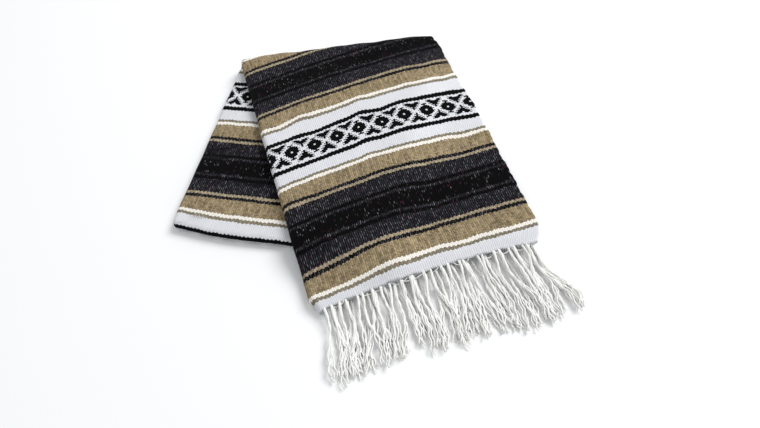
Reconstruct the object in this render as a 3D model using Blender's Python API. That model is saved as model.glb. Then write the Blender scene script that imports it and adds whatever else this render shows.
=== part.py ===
"""A woven striped blanket (a Mexican serape) with a knotted-yarn fringe, lying folded on a table.

The blanket is folded in four along its length and once across, which makes a strip of eight layers.
The strip is folded again on a slant, so its fringed leg lies over its plain leg.
Metres, +Z up, the table is z = 0 and the fringe points towards -Y.

Both legs are drawn in strip coordinates: u runs across the strip from its left edge, and v runs along
it towards the free end, with v = 0 at the middle of the leg's diamond band.
"""

import math
import random

import bmesh
import bpy

STRIP_WIDTH = 0.320  # the 1.27 m cloth folded in four
CLOTH = 0.002  # one layer of cloth, and so the walls
LAYERS = 8
LEG_THICK = LAYERS * CLOTH
GAP = 0.0003  # between pieces
CORE_GAP = 0.0005  # between the cloth and the hidden layers, which share a draped face
ROLL_RADIUS = LEG_THICK / 2  # a rolled edge takes the whole strip round
ROLL_TURN = math.radians(150)  # how far a wall follows its rolled edge
CORE_RADIUS = ROLL_RADIUS - CLOTH - CORE_GAP
NECK = ROLL_RADIUS * (1 - math.sin(ROLL_TURN)) + 0.0016  # foot of the hidden layers, in from a rolled edge

# Strip frames: where (u, v) = (0, 0) lies, and how far u is turned from +X.
UPPER = {"x": -0.1059, "y": 0.0527, "turn": math.radians(8.35)}
LOWER = {"x": -0.1670, "y": 0.2161, "turn": math.radians(-21.06)}

# The slanted fold turns about this level line, half way up the two legs.
FOLD_TURN = (UPPER["turn"] + LOWER["turn"]) / 2
FOLD_SLANT = UPPER["turn"] - FOLD_TURN
FOLD_AXIS_Z = LEG_THICK
FOLD_V = -0.2222  # the fold axis on the upper leg's left edge
FOLD_SLIP = 0.0068  # the lower leg comes out of the fold this much to the left

# The upper leg sinks to the table beyond the lower leg, within this distance of its edge.
LOWER_LENGTH = 0.258
DRAPE_START, DRAPE_REACH = 0.008, 0.055

# Edges of the upper leg: its free end and its width, as read from the photograph.
END_V, END_BOW, END_MIDDLE = 0.2499, 0.352, 0.120  # v of the free end, its bow, and u where that is least
WIDTH = [  # v, width
    (-0.150, 0.3165), (-0.100, 0.3185), (0.000, 0.3230), (0.090, 0.3200), (0.180, 0.3185), (0.265, 0.3165),
]

NOSE_RADIUS = 0.003  # the open side's top fold, two layers of cloth
NOSE_TURN = math.radians(150)
LOBES = 3  # folded pairs that show below it
CORNER_RADIUS = 0.010  # lower leg's front corner, seen from above
ROLL_STEPS, ACROSS, ALONG = 6, 20, 32  # facets round a roll, across the level cloth and along a leg

STRANDS = 26  # in each of three rows
STRAND_WIDE, STRAND_HIGH = 0.0026, 0.0017
STRIP_DEEP = 0.004
FRINGE_LENGTH = [(0.00, 0.090), (0.12, 0.094), (0.20, 0.104), (0.28, 0.113), (0.32, 0.103)]  # u, length
TABLE_CLEAR = 0.0005


def from_table(table, x):
    """Straight-line reading of a two-column table."""
    if x <= table[0][0]:
        return table[0][1]
    for (x0, y0), (x1, y1) in zip(table, table[1:]):
        if x <= x1:
            return y0 + (y1 - y0) * (x - x0) / (x1 - x0)
    return table[-1][1]


def smooth(t):
    t = min(max(t, 0.0), 1.0)
    return t * t * (3 - 2 * t)


def end_v(u):
    """The free end of the upper leg."""
    return END_V + END_BOW * (u - END_MIDDLE) ** 2


def to_world(leg, u, v):
    c, s = math.cos(leg["turn"]), math.sin(leg["turn"])
    return leg["x"] + u * c + v * s, leg["y"] + u * s - v * c


def to_strip(leg, x, y):
    c, s = math.cos(leg["turn"]), math.sin(leg["turn"])
    dx, dy = x - leg["x"], y - leg["y"]
    return dx * c + dy * s, dx * s - dy * c


def upper_top(u, v):
    """Height of the upper leg's face: two legs high on the lower leg, one leg high on the table."""
    u2, v2 = to_strip(LOWER, *to_world(UPPER, u, v))
    past_side, past_end = u2 - STRIP_WIDTH, v2 - LOWER_LENGTH
    if max(past_side, past_end) < 0:
        outside = max(past_side, past_end)
    else:
        outside = math.hypot(max(past_side, 0), max(past_end, 0))
    sunk = smooth((outside + DRAPE_START) / (DRAPE_REACH + DRAPE_START))
    return LEG_THICK * (2 - sunk)


def make(name, verts, faces, colour):
    mesh = bpy.data.meshes.new(name)
    mesh.from_pydata(verts, [], faces)
    bm = bmesh.new()
    bm.from_mesh(mesh)
    bmesh.ops.remove_doubles(bm, verts=bm.verts, dist=1e-7)
    bmesh.ops.recalc_face_normals(bm, faces=bm.faces)
    bm.to_mesh(mesh)
    bm.free()
    obj = bpy.data.objects.new(name, mesh)
    bpy.context.scene.collection.objects.link(obj)
    material = bpy.data.materials.new(name)
    material.use_nodes = True
    material.node_tree.nodes["Principled BSDF"].inputs["Base Color"].default_value = (*colour, 1)
    material.node_tree.nodes["Principled BSDF"].inputs["Roughness"].default_value = 0.9
    mesh.materials.append(material)
    return obj


def loft(name, loops, colour, cap):
    """A closed solid through loops of equal length. cap lists the faces of an end by place in the loop."""
    n = len(loops[0])
    verts = [point for loop in loops for point in loop]
    faces = []
    for k in range(len(loops) - 1):
        for i in range(n):
            a, b = k * n + i, k * n + (i + 1) % n
            c, d = b + n, a + n
            # Split along the higher diagonal, so that faces one above the other bend alike.
            if verts[a][2] + verts[c][2] >= verts[b][2] + verts[d][2]:
                faces += [(a, b, c), (a, c, d)]
            else:
                faces += [(a, b, d), (b, c, d)]
    for face in cap:
        faces += [face[::-1], tuple((len(loops) - 1) * n + i for i in face)]
    return make(name, verts, faces, colour)


def flat_cap(loop):
    return [tuple(range(len(loop)))]


def wall_cap(loop):
    """The end of a wall, whose loop runs out along one face and back along the other."""
    n = len(loop)
    return [(i, i + 1, n - 2 - i, n - 1 - i) for i in range(n // 2 - 1)]


def steps(start, end, count):
    return [start + (end - start) * i / count for i in range(count + 1)]


def spread(f):
    """Places a fraction across the strip, closer together near both edges."""
    return f - 0.09 * math.sin(2 * math.pi * f)


# Sections across the upper leg are lists of (u, height below the leg's face).


def wall_section(width):
    """The visible cloth: rolled under at the left edge and round a small fold at the right."""
    outer, inner = [], []
    for turn in steps(ROLL_TURN, 0, ROLL_STEPS):
        for side, radius in ((outer, ROLL_RADIUS), (inner, ROLL_RADIUS - CLOTH)):
            side.append((ROLL_RADIUS - radius * math.sin(turn), ROLL_RADIUS - radius * math.cos(turn)))
    left, right = ROLL_RADIUS, width - NOSE_RADIUS
    for f in steps(0, 1, ACROSS)[1:-1]:
        outer.append((left + (right - left) * spread(f), 0))
        inner.append((left + (right - left) * spread(f), CLOTH))
    for turn in steps(0, NOSE_TURN, 4):
        for side, radius in ((outer, NOSE_RADIUS), (inner, NOSE_RADIUS - CLOTH)):
            side.append((right + radius * math.sin(turn), NOSE_RADIUS - radius * math.cos(turn)))
    return outer + inner[::-1]


def core_section(width):
    """The hidden layers inside that wall, ending in folded pairs at the open right side."""
    section = [(NECK, ROLL_RADIUS - CORE_RADIUS * math.cos(ROLL_TURN) + 0.0004)]
    section += [
        (ROLL_RADIUS - CORE_RADIUS * math.sin(turn), ROLL_RADIUS - CORE_RADIUS * math.cos(turn))
        for turn in steps(ROLL_TURN, 0, ROLL_STEPS)
    ]
    right = width - NOSE_RADIUS - CORE_GAP
    section += [
        (ROLL_RADIUS + (right - ROLL_RADIUS) * spread(f), CLOTH + CORE_GAP) for f in steps(0, 1, ACROSS)[1:]
    ]
    top, bottom = 0.0062, LEG_THICK - 0.0008
    lobe = (bottom - top) / LOBES
    for i in range(LOBES):
        for f, reach in ((0.0, 0.0), (0.22, 0.0024), (0.5, 0.0030), (0.78, 0.0024)):
            section.append((right + reach, top + lobe * (i + f)))
    section.append((right, bottom))
    section.append((right - 0.0025, bottom))
    return section


def upper_station(s):
    """Where the section line at s lies: 0 is the free end, 1 the slanted fold. Gives v at any u."""

    def v_at(u):
        fold = FOLD_V + u * math.tan(FOLD_SLANT)
        return end_v(u) * (1 - s) + fold * s

    return v_at


def upper_point(u, v, drop):
    """A point of the upper leg's section: drop is counted from the face at the nearest level place."""
    face = upper_top(max(u, ROLL_RADIUS), v)
    return (*to_world(UPPER, u, v), face - drop)


def fold_point(u, drop, turn):
    """The same section carried round the slanted fold by turn."""
    x, y = to_world(UPPER, u, FOLD_V + u * math.tan(FOLD_SLANT))
    arm = LEG_THICK - drop
    slip = -FOLD_SLIP * turn / math.pi
    c, s = math.cos(FOLD_TURN), math.sin(FOLD_TURN)
    out = arm * math.sin(turn)
    return x + slip * c - out * s, y + slip * s + out * c, FOLD_AXIS_Z + arm * math.cos(turn)


STATIONS = [0, 0.012, 0.03] + [0.03 + 0.97 * f for f in steps(0, 1, ALONG)[1:]]


def width_at(s):
    return from_table(WIDTH, upper_station(s)(STRIP_WIDTH))


def build_upper_cloth():
    loops = []
    for s in STATIONS:
        v_at = upper_station(s)
        loops.append([upper_point(u, v_at(u), drop) for u, drop in wall_section(width_at(s))])
    for turn in steps(0, math.pi, 10)[1:]:
        loops.append([fold_point(u, drop, turn) for u, drop in wall_section(width_at(1))])
    return loft("upper_cloth", loops, (0.46, 0.38, 0.27), wall_cap(loops[0]))


def lower_start_v(u):
    """Where the lower leg comes out of the slanted fold, in its own coordinates."""
    x, y = to_world(UPPER, 0, FOLD_V)
    u0, v0 = to_strip(LOWER, x, y)
    return v0 - (u - u0) * math.tan(FOLD_SLANT) + 2 * GAP


def under_upper(v, inside):
    """u on the lower leg where it passes below the upper leg's left edge, that far in."""
    turn = UPPER["turn"] - LOWER["turn"]
    x, y = to_world(UPPER, inside, 0)
    u0, v0 = to_strip(LOWER, x, y)
    return u0 + (v - v0) * math.tan(turn)


def lower_end_v(u):
    """The front fold, which draws in at its left corner."""
    return LOWER_LENGTH - 0.0065 * (1 - smooth(u / 0.085))


def rolled(radius):
    """(in from the edge, height) round a rolled edge, from below to the level face."""
    turns = steps(ROLL_TURN, 0, ROLL_STEPS)
    return [(ROLL_RADIUS - radius * math.sin(t), ROLL_RADIUS + radius * math.cos(t)) for t in turns]


def lower_section(place, f, radius):
    """Points of one section, from under the rolled edge to the edge that the upper leg covers.

    place is the side, corner or front of the leg, f how far along it, and radius the roll's.
    """
    inside = NECK - 2 * GAP
    points = []
    for inset, z in rolled(radius):
        if place == "side":
            v_corner = LOWER_LENGTH - 2 * CORNER_RADIUS
            points.append((inset, lower_start_v(inset) * (1 - f) + v_corner * f, z))
        elif place == "corner":
            r = CORNER_RADIUS - inset
            turn = f * math.pi / 2
            v = lower_end_v(CORNER_RADIUS) - CORNER_RADIUS + r * math.sin(turn)
            points.append((CORNER_RADIUS - r * math.cos(turn), v, z))
        else:
            u = CORNER_RADIUS + (under_upper(LOWER_LENGTH - inset, inside) - CORNER_RADIUS) * f
            points.append((u, lower_end_v(u) - inset, z))
    share = {"side": 0.62 * f, "corner": 0.62 + 0.04 * f, "front": 0.66 + 0.34 * f}[place]
    last_v = LOWER_LENGTH - ROLL_RADIUS - 0.001
    v_in = lower_start_v(inside) * (1 - share) + last_v * share
    u_in = under_upper(v_in, inside)
    u_edge, v_edge, z = points[-1]
    for g in steps(0, 1, 3)[1:]:
        points.append((u_edge + (u_in - u_edge) * g, v_edge + (v_in - v_edge) * g, z))
    return [(*to_world(LOWER, u, v), z) for u, v, z in points]


def build_lower_cloth():
    places = [("side", f) for f in steps(0, 1, 16)]
    places += [("corner", f) for f in steps(0, 1, 5)[1:]]
    places += [("front", f) for f in steps(0, 1, 12)[1:]]
    loops = []
    for place, f in places:
        outer = lower_section(place, f, ROLL_RADIUS)
        inner = lower_section(place, f, ROLL_RADIUS - CLOTH)
        loops.append(outer + inner[::-1])
    return loft("lower_cloth", loops, (0.74, 0.72, 0.68), wall_cap(loops[0]))


def build_hidden_layers():
    """Three rounded bodies joined into one: in the upper leg, in the slanted fold and in the lower leg."""
    colour = (0.30, 0.27, 0.26)
    first, last = ROLL_STEPS + 1, ROLL_STEPS + 1 + ACROSS  # the level part of the section
    loops = []
    for s in STATIONS:
        shift = {0: -GAP, 1: GAP * 2}.get(s, 0)
        section = core_section(width_at(s))
        foot_u = section[-1][0]
        foot = [(min(u, foot_u), None) for u, _ in section[first : last + 1][::-1]] + [(NECK, None)]
        loop = []
        for u, drop in section + foot:
            v = upper_station(s)(u) + shift
            z = 0.0 if drop is None else upper_top(max(u, ROLL_RADIUS), v) - drop
            loop.append((*to_world(UPPER, u, v), z))
        loops.append(loop)
    # The free end follows the cloth's curve, so its face is split into level strips.
    n, below = len(loops[0]), len(section) + last
    cap = [(*range(first + 1), below - first, n - 1)]
    cap += [(i, i + 1, below - i - 1, below - i) for i in range(first, last)]
    cap.append(tuple(range(last, len(section) + 1)))
    upper = loft("hidden_layers", loops, colour, cap)

    # Round the fold, drawn a little inside the section so that the two bodies join cleanly.
    middle, back = STRIP_WIDTH / 2, 0.004
    c, s = math.cos(FOLD_TURN), math.sin(FOLD_TURN)
    loops = []
    for u, drop in core_section(width_at(1)):
        u = middle + (u - middle) * 0.995
        loop = [fold_point(u, drop + 0.0001, turn) for turn in steps(0, math.pi, 12)]
        u = middle + (u - middle) * 0.92
        x, y = to_world(UPPER, u, FOLD_V + u * math.tan(FOLD_SLANT))
        arm = (LEG_THICK - drop) * 0.75
        for z, slip in ((FOLD_AXIS_Z - arm, FOLD_SLIP), (FOLD_AXIS_Z + arm, 0)):
            loop.append((x - slip * c + back * s, y - slip * s - back * c, z))
        loops.append(loop)
    fold = loft("fold_core", loops, colour, flat_cap(loops[0]))

    rings = [(NECK, 0.0), (NECK, ROLL_RADIUS + CORE_RADIUS * math.cos(ROLL_TURN) - 0.0004)] + [
        (ROLL_RADIUS - CORE_RADIUS * math.sin(t), ROLL_RADIUS + CORE_RADIUS * math.cos(t))
        for t in steps(ROLL_TURN, 0, ROLL_STEPS)
    ]
    loops = []
    for inset, z in rings:
        outline = [(inset, lower_start_v(inset)), (inset, 0.08)]
        r = CORNER_RADIUS - inset
        for turn in steps(0, math.pi / 2, 5):
            v = lower_end_v(CORNER_RADIUS) - CORNER_RADIUS + r * math.sin(turn)
            outline.append((CORNER_RADIUS - r * math.cos(turn), v))
        for u in steps(CORNER_RADIUS, 0.24, 14)[1:]:
            outline.append((u, lower_end_v(u) - inset))
        outline.append((0.060, lower_start_v(0.060)))
        loops.append([(*to_world(LOWER, u, v), z) for u, v in outline])
    lower = loft("lower_core", loops, colour, flat_cap(loops[0]))

    for other in (fold, lower):
        join = upper.modifiers.new("join", "BOOLEAN")
        join.operation = "UNION"
        join.solver = "MANIFOLD"
        join.object = other
        other.hide_render = True
    return upper


def strand_centre(u0, top, s):
    """Centre of a strand at distance s from its root: it sinks to the table and wanders a little."""
    floor = TABLE_CLEAR + STRAND_HIGH / 2
    z = floor + (top - floor) * (1 - smooth(s / 0.058))
    t = s / 0.110
    side = (0.010 * (u0 / STRIP_WIDTH - 0.5) + 0.004 * math.sin(u0 * 52 + 1.0)) * smooth(t)
    side += 0.0030 * math.sin(u0 * 38 + t * 5.0) * t
    return u0 + side, end_v(u0) + GAP + STRIP_DEEP + s, z


def build_fringe(name, top, shift, seed, shorten):
    """A row of twisted warp ends on a narrow strip in front of the cloth's end."""
    rng = random.Random(seed)
    pitch = (STRIP_WIDTH - 0.016) / STRANDS
    cells, strands = [0.003], []
    for i in range(STRANDS):
        root = 0.008 + pitch * (i + 0.2) + shift
        cells += [root - STRAND_WIDE / 2, root + STRAND_WIDE / 2]
        strands.append(root)
    cells.append(STRIP_WIDTH - 0.007)
    verts, faces = [], []
    for u in cells:
        back = end_v(u) + GAP
        for v, z in ((back, -1), (back, 1), (back + STRIP_DEEP, 1), (back + STRIP_DEEP, -1)):
            verts.append((*to_world(UPPER, u, v), top + z * STRAND_HIGH / 2))
    for k in range(len(cells) - 1):
        a, b = 4 * k, 4 * (k + 1)
        faces += [(a, a + 1, b + 1, b), (a + 1, a + 2, b + 2, b + 1), (a + 3, a, b, b + 3)]
        if k % 2 == 0:
            faces.append((a + 2, a + 3, b + 3, b + 2))
    last = 4 * (len(cells) - 1)
    faces += [(3, 2, 1, 0), (last, last + 1, last + 2, last + 3)]
    for i, u0 in enumerate(strands):
        a, b = 4 * (2 * i + 1), 4 * (2 * i + 2)
        ring = [a + 2, a + 3, b + 3, b + 2]
        length = from_table(FRINGE_LENGTH, u0) * rng.uniform(0.90, 1.0) - shorten
        for s in steps(0, length, 8)[1:]:
            u, v, z = strand_centre(u0, top, s)
            thin = 1 - 0.25 * s / length
            half, high = STRAND_WIDE / 2 * thin, STRAND_HIGH / 2
            new = len(verts)
            for side, lift in ((-half, high), (-half, -high), (half, -high), (half, high)):
                verts.append((*to_world(UPPER, u + side, v), z + lift))
            now = [new, new + 1, new + 2, new + 3]
            faces += [(ring[j], ring[(j + 1) % 4], now[(j + 1) % 4], now[j]) for j in range(4)]
            ring = now
        faces.append(tuple(ring))
    return make(name, verts, faces, (0.84, 0.83, 0.79))


for obj in list(bpy.data.objects):
    bpy.data.objects.remove(obj)

build_upper_cloth()
build_lower_cloth()
build_hidden_layers()
build_fringe("fringe_top", 0.0148, 0.0, 1, 0.0)
build_fringe("fringe_middle", 0.0088, 0.0040, 2, 0.004)
build_fringe("fringe_bottom", 0.0028, 0.0080, 3, 0.009)
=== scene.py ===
"""A woven striped serape with a yarn fringe, folded and laid on a table: its looks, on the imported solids."""

import math

import bpy
import numpy as np
from mathutils import Matrix


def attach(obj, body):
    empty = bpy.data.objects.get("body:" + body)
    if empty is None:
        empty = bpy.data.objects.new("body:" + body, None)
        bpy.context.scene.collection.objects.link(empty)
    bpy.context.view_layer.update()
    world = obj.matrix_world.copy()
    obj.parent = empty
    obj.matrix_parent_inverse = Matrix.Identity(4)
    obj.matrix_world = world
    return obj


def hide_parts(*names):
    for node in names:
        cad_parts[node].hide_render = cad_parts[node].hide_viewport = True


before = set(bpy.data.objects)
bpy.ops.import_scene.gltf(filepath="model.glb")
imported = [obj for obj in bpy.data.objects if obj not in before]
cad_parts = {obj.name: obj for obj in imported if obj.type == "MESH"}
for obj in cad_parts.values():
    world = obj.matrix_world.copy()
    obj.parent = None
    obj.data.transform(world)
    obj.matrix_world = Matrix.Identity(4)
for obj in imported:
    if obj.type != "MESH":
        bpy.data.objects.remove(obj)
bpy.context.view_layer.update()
bpy.ops.object.select_all(action="DESELECT")


# The camera stands in front of the fringe and looks down at the blanket. It is tipped a little
# to one side, as it was held for the photograph. Its lens is that of a common full-frame camera.
camera = bpy.data.objects.new("camera", bpy.data.cameras.new("camera"))
bpy.context.scene.collection.objects.link(camera)
bpy.context.scene.camera = camera
camera.data.sensor_width = 36.0
camera.data.lens = 28.42
camera.data.clip_start = 0.01
tilt, roll = math.radians(33.53), math.radians(-11.57)
stand = Matrix.Translation((0.0400, -0.5295, 0.7043))
camera.matrix_world = stand @ Matrix.Rotation(tilt, 4, "X") @ Matrix.Rotation(roll, 4, "Z")


# The table is a sheet of white paper of the kind that is used behind goods, rolled out flat and wide.
# It is matt and its grain is too fine to show, so it gives the eye only soft shadows.
TABLE_SIDE = 8.0
TABLE_TOP = -0.0003  # a hair below the blanket, so that the two never share a plane


def linear(hex_colour):
    """An sRGB colour such as #c8b48c as linear red, green, blue and alpha."""
    parts = [int(hex_colour[i : i + 2], 16) / 255 for i in (1, 3, 5)]
    return (*[p / 12.92 if p <= 0.04045 else ((p + 0.055) / 1.055) ** 2.4 for p in parts], 1.0)


paper = bpy.data.materials.new("matt_white_paper")
paper.use_nodes = True
paper_surface = paper.node_tree.nodes["Principled BSDF"]
paper_surface.inputs["Base Color"].default_value = linear("#fbfbfb")
paper_surface.inputs["Roughness"].default_value = 1.0
paper_surface.inputs["Specular IOR Level"].default_value = 0.0
bpy.ops.mesh.primitive_plane_add(size=TABLE_SIDE, location=(0.0, 0.0, TABLE_TOP))
table = bpy.context.object
table.name = "table"
table.data.materials.append(paper)


# The light is a white room, and one large round soft box that stands on the right of the table
# and a little behind it, and points down at the blanket.
world = bpy.data.worlds.new("white_room")
bpy.context.scene.world = world
world.use_nodes = True
world.node_tree.nodes["Background"].inputs["Color"].default_value = linear("#fbfdff")
world.node_tree.nodes["Background"].inputs["Strength"].default_value = 0.60
soft_box = bpy.data.objects.new("soft_box", bpy.data.lights.new("soft_box", "AREA"))
soft_box.data.shape = "DISK"
soft_box.data.size = 2.4
soft_box.data.energy = 150.0
soft_box.matrix_world = (
    Matrix.Translation((2.90, 1.30, 3.10))
    @ Matrix.Rotation(math.radians(45.7), 4, (-0.41, 0.912, 0.0))
)
bpy.context.scene.collection.objects.link(soft_box)
bpy.context.scene.view_settings.view_transform = "Standard"


# The cloth comes off the loom weft-faced: soft recycled acrylic weft is beaten down until it hides the
# cotton warp, which shows as ribs along the cloth. The stripes are weft colours, the diamonds are picked in.
# Matt and slightly hairy yarn gives a dull, heathered face. The grooves between the ribs are darkened with
# painted shade.
RIB = 0.035 / 12  # between warp ribs
PICK = 0.0016  # between weft yarns on one rib
STRIPE_REPEAT = 0.2864  # from one diamond band to the next
CHART_ROW = 0.0014  # height of one row of the diamonds' chart
DIAMOND_RIBS = 12  # from one diamond to the next
CHART_FULL = 8  # ribs that full colour stands for in the chart's ramp
WAVE = 0.0040  # how far beating leaves the weft wavy, from end to end of its swing
EDGE_STEP = 0.0010  # how far a stripe's edge steps from one rib to the next
ROW_STEP = 0.0016  # and how far the picked-in rows may
DASH_WIDE = 0.18  # half width of a pale dash, in ribs
GROOVE_WIDE = 0.24  # half width of a groove's painted shade, in ribs
MM = 1000.0  # millimetres in a metre

WHITE, CREAM, TAN = "#e4e5e9", "#f8f3ea", "#9a896b"
GREY_TAN, PALE_TAN, CHARCOAL = "#8b8270", "#a5977e", "#131116"
BLACK, SLATE, WARP = "#060607", "#1a191d", "#cbc8d1"
PLUM_FLECK, TEAL_FLECK = "#8a4a72", "#3f8270"
STRIPES = [  # from the diamonds' middle in mm, colour, how mottled, share of grooves where the warp shows
    (0.0, WHITE, 0.05, 0.00),
    (22.5, BLACK, 0.10, 0.00),
    (30.6, WHITE, 0.05, 0.00),
    (50.9, GREY_TAN, 0.42, 0.02),
    (55.9, CREAM, 0.06, 0.00),
    (61.4, TAN, 0.64, 0.30),
    (85.6, BLACK, 0.80, 0.90),
    (91.4, PALE_TAN, 0.50, 0.15),
    (95.8, CHARCOAL, 0.80, 1.00),
    (119.5, BLACK, 0.40, 0.15),
    (125.5, SLATE, 0.80, 0.90),
    (129.5, BLACK, 0.45, 0.20),
]
CHART = [  # rows from the middle: half widths in ribs of the diamond, the half diamond and the hole
    (3.5, 0.0, 0.5),
    (4.5, 0.0, 0.0),
    (3.5, 0.5, 0.0),
    (3.5, 0.5, 0.0),
    (2.5, 1.5, 0.0),
    (2.5, 0.5, 0.0),
    (1.5, 2.5, 0.0),
    (0.5, 1.5, 0.0),
    (1.5, 3.5, 0.0),
    (1.5, 2.5, 0.0),
    (0.0, 3.5, 0.0),
    (0.0, 4.5, 0.0),
    (0.0, 3.5, 0.5),
    (0.0, 4.5, 1.5),
    (0.0, 0.0, 0.0),
    (0.0, 0.0, 0.0),
]


def add_node(material, kind, *feeds, **settings):
    """A node with its settings. Each feed goes to the next input: a node, a socket, a value, or None."""
    node = material.node_tree.nodes.new(kind)
    for name, value in settings.items():
        setattr(node, name, value)
    for place, feed in enumerate(feeds):
        if isinstance(feed, bpy.types.Node):
            feed = feed.outputs[0]
        if isinstance(feed, bpy.types.NodeSocket):
            material.node_tree.links.new(feed, node.inputs[place])
        elif feed is not None:
            node.inputs[place].default_value = feed
    return node


def fill_ramp(node, stops):
    """Gives a colour ramp its steps: (place, colour)."""
    node.color_ramp.interpolation = "CONSTANT"
    while len(node.color_ramp.elements) < len(stops):
        node.color_ramp.elements.new(1.0)
    for element, (place, colour) in zip(node.color_ramp.elements, stops):
        element.position = place
        element.color = colour


def make_weave():
    """Weft-faced cloth. Its UV map is the place on the cloth in metres, across and along from a diamond."""
    cloth = bpy.data.materials.new("weft_faced_acrylic_and_cotton")
    cloth.use_nodes = True
    place = add_node(cloth, "ShaderNodeUVMap", uv_map="weave")
    along = add_node(cloth, "ShaderNodeSeparateXYZ", place)
    ribs = add_node(cloth, "ShaderNodeMath", along.outputs[0], 1 / RIB, operation="MULTIPLY")
    rib = add_node(cloth, "ShaderNodeMath", ribs, operation="FLOOR")
    odd = add_node(cloth, "ShaderNodeMath", rib, 2.0, operation="FLOORED_MODULO")

    # Beating leaves the weft wavy, in swings some 17 mm long, and stripes' edges step from rib to rib.
    slow = add_node(cloth, "ShaderNodeTexNoise", place, None, 60.0, 2.0)
    wave = add_node(cloth, "ShaderNodeMath", slow, WAVE, -WAVE / 2, operation="MULTIPLY_ADD")
    step = add_node(cloth, "ShaderNodeMath", odd, EDGE_STEP, -EDGE_STEP / 2, operation="MULTIPLY_ADD")
    shift = add_node(cloth, "ShaderNodeMath", wave, step, operation="ADD")
    run = add_node(cloth, "ShaderNodeMath", along.outputs[1], shift, operation="ADD")
    away = add_node(cloth, "ShaderNodeMath", run, STRIPE_REPEAT / 2, operation="PINGPONG")
    share = add_node(cloth, "ShaderNodeMath", away, 2 / STRIPE_REPEAT, operation="MULTIPLY")

    half = STRIPE_REPEAT / 2 * MM
    colour = add_node(cloth, "ShaderNodeValToRGB", share)
    fill_ramp(colour, [(mm / half, linear(hue)) for mm, hue, _, _ in STRIPES])
    mixing = add_node(cloth, "ShaderNodeValToRGB", share)
    fill_ramp(mixing, [(mm / half, (heather, fleck, 0.0, 1.0)) for mm, _, heather, fleck in STRIPES])
    heather = add_node(cloth, "ShaderNodeSeparateColor", mixing)

    # The yarn is heathered: its tone changes with each stitch, that is one weft yarn over one rib, and
    # more slowly in streaks of about eight stitches along a rib.
    picks = add_node(cloth, "ShaderNodeMath", run, 1 / PICK, operation="MULTIPLY")
    half_step = add_node(cloth, "ShaderNodeMath", odd, 0.5, picks, operation="MULTIPLY_ADD")
    pick = add_node(cloth, "ShaderNodeMath", half_step, operation="FLOOR")
    stitch = add_node(cloth, "ShaderNodeCombineXYZ", rib, pick)
    luck = add_node(cloth, "ShaderNodeTexWhiteNoise", stitch, noise_dimensions="3D")
    shares = add_node(cloth, "ShaderNodeMath", picks, 0.12, operation="MULTIPLY")
    stretches = add_node(cloth, "ShaderNodeMath", rib, 0.37, shares, operation="MULTIPLY_ADD")
    stretch = add_node(cloth, "ShaderNodeMath", stretches, operation="FLOOR")
    streak = add_node(cloth, "ShaderNodeCombineXYZ", rib, stretch, 3.0)
    streak_luck = add_node(cloth, "ShaderNodeTexWhiteNoise", streak, noise_dimensions="3D")
    streak_swing = add_node(cloth, "ShaderNodeMath", streak_luck, 0.8, -0.9, operation="MULTIPLY_ADD")
    swing = add_node(cloth, "ShaderNodeMath", luck, 1.0, streak_swing, operation="MULTIPLY_ADD")
    tone = add_node(cloth, "ShaderNodeMath", swing, heather.outputs[0], 1.0, operation="MULTIPLY_ADD")
    mottled = add_node(cloth, "ShaderNodeVectorMath", colour, operation="SCALE")
    cloth.node_tree.links.new(tone.outputs[0], mottled.inputs["Scale"])

    # In the grooves, most of all in those of the dark stripes, the pale warp shows through the weft as short
    # dashes along the cloth. Most are dim, a few are bright, and here and there one is of plum or teal yarn.
    grooves = add_node(cloth, "ShaderNodeMath", ribs, 0.5, operation="ADD")
    groove = add_node(cloth, "ShaderNodeMath", grooves, operation="FLOOR")
    pairs = add_node(cloth, "ShaderNodeMath", picks, 0.62, operation="MULTIPLY")
    pair = add_node(cloth, "ShaderNodeMath", pairs, operation="FLOOR")
    gap = add_node(cloth, "ShaderNodeCombineXYZ", groove, pair, 7.0)
    gap_luck = add_node(cloth, "ShaderNodeTexWhiteNoise", gap, noise_dimensions="3D")
    gap_lucks = add_node(cloth, "ShaderNodeSeparateColor", gap_luck.outputs[1])
    shows = add_node(cloth, "ShaderNodeMath", gap_luck, heather.outputs[1], operation="LESS_THAN")
    rib_place = add_node(cloth, "ShaderNodeMath", ribs, 0.5, operation="PINGPONG")
    in_groove = add_node(cloth, "ShaderNodeMath", rib_place, DASH_WIDE, operation="LESS_THAN")
    dash = add_node(cloth, "ShaderNodeMath", shows, in_groove, operation="MULTIPLY")
    seldom = add_node(cloth, "ShaderNodeMath", gap_lucks.outputs[1], 4.0, operation="POWER")
    paleness = add_node(cloth, "ShaderNodeMath", seldom, 0.42, 0.055, operation="MULTIPLY_ADD")
    dash_share = add_node(cloth, "ShaderNodeMath", dash, paleness, operation="MULTIPLY")
    is_plum = add_node(cloth, "ShaderNodeMath", gap_lucks, 0.10, operation="LESS_THAN")
    is_teal = add_node(cloth, "ShaderNodeMath", gap_lucks, 0.94, operation="GREATER_THAN")
    plum_or_pale = add_node(cloth, "ShaderNodeMixRGB", is_plum, linear(WARP), linear(PLUM_FLECK))
    fleck = add_node(cloth, "ShaderNodeMixRGB", is_teal, plum_or_pale, linear(TEAL_FLECK))
    flecked = add_node(cloth, "ShaderNodeMixRGB", dash_share, mottled, fleck)

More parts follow.
